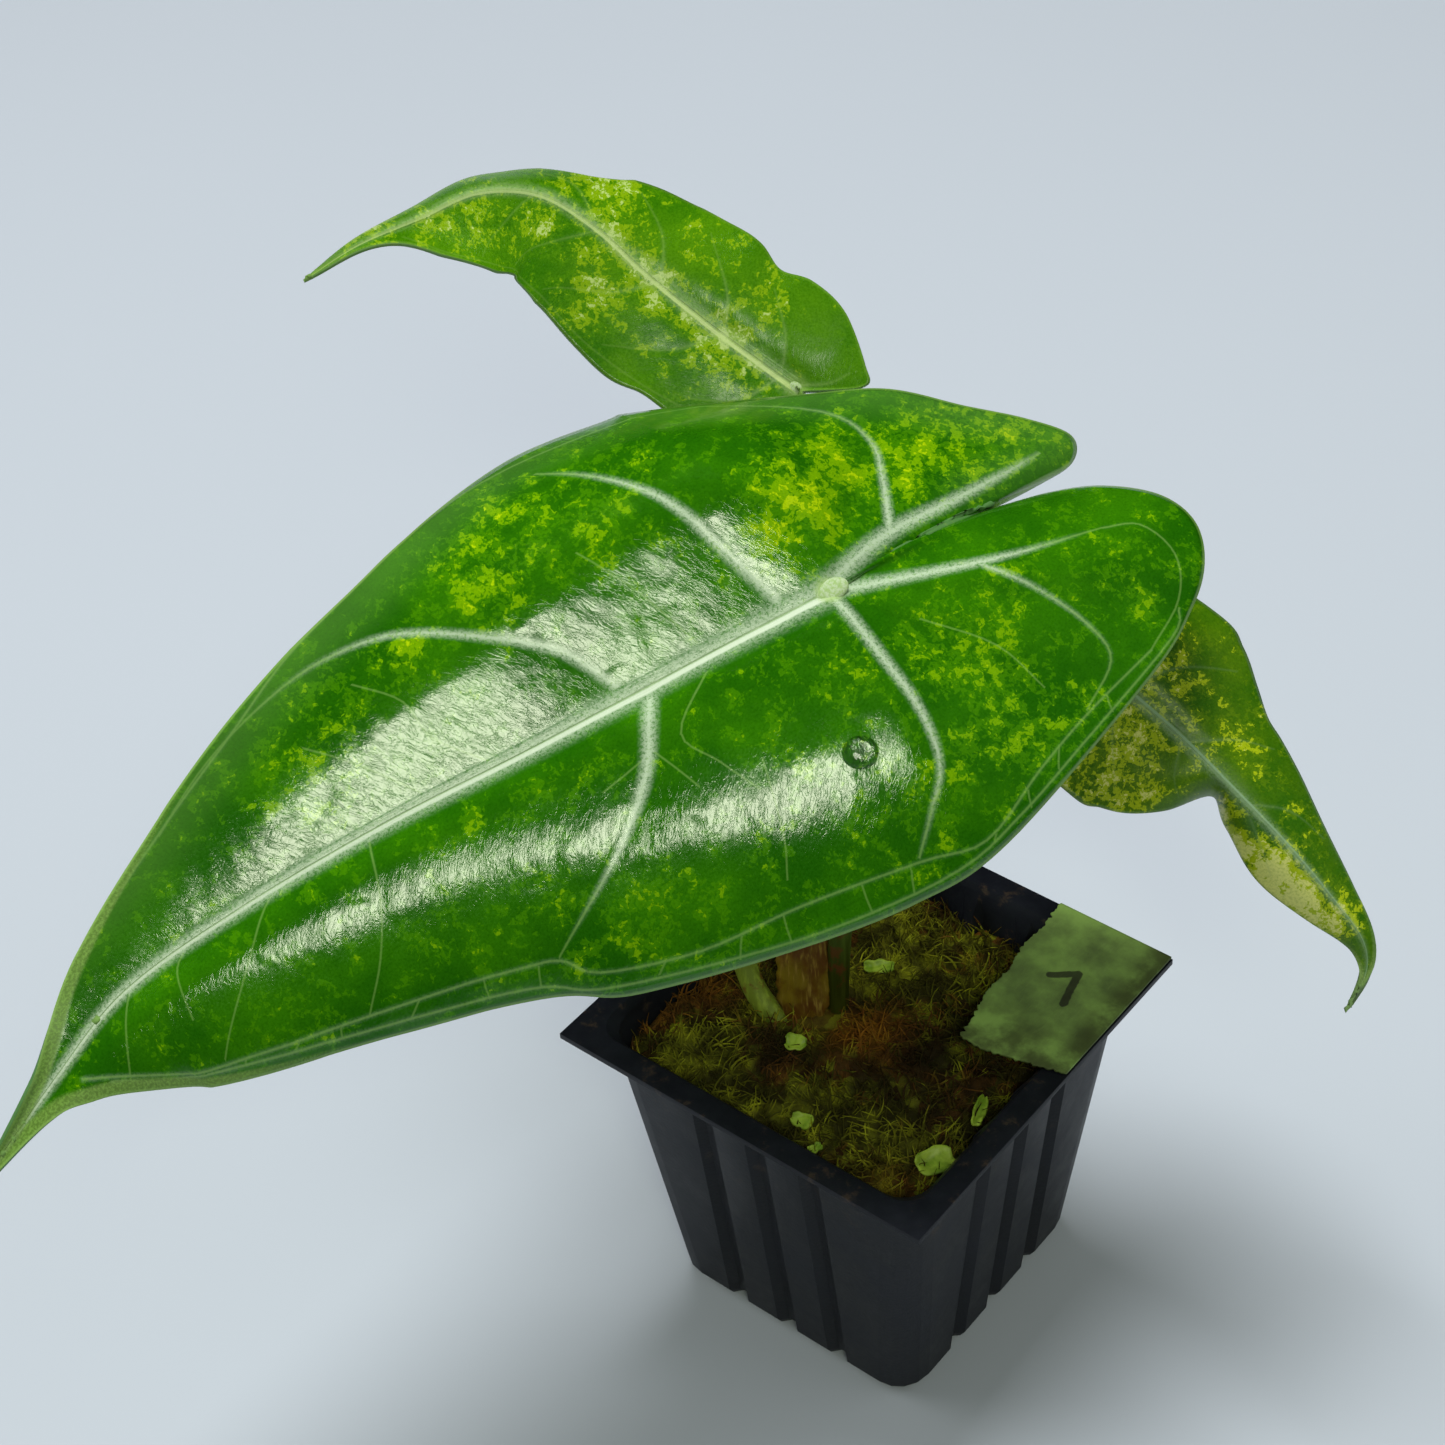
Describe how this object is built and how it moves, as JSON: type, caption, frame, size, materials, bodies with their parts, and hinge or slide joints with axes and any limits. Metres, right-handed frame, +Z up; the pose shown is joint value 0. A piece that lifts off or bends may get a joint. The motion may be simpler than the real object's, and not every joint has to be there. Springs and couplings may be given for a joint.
{
  "type": "potted variegated alocasia",
  "caption": "Young variegated alocasia with long arrow-shaped leaves on slender stalks, growing in moss in a square fluted nursery pot with a tape label on its rim.",
  "frame": {"origin": "middle of the pot's base, on the surface the pot stands on", "axes": "+Z up; X and Y parallel to the pot's sides; the large leaf points towards -Y and the taped corner of the rim is at +X +Y"},
  "size_m": [0.1763, 0.1939, 0.1869],
  "materials": {
    "leaf_large": "glossy",
    "leaf_back": "glossy",
    "leaf_right": "glossy",
    "petiole": "satin",
    "pot": "matte",
    "moss": "fibrous",
    "dry_sheath": "dry",
    "tape": "matte"
  },
  "bodies": {
    "root": {"leaf_large_blade": "leaf_large", "leaf_large_petiole": "petiole", "leaf_back_blade": "leaf_back", "leaf_back_petiole": "petiole", "leaf_right_blade": "leaf_right", "leaf_right_petiole": "petiole", "pot": "pot", "moss": "moss", "crown": "petiole", "old_sheath": "dry_sheath", "tape_label": "tape"}
  },
  "joints": []
}
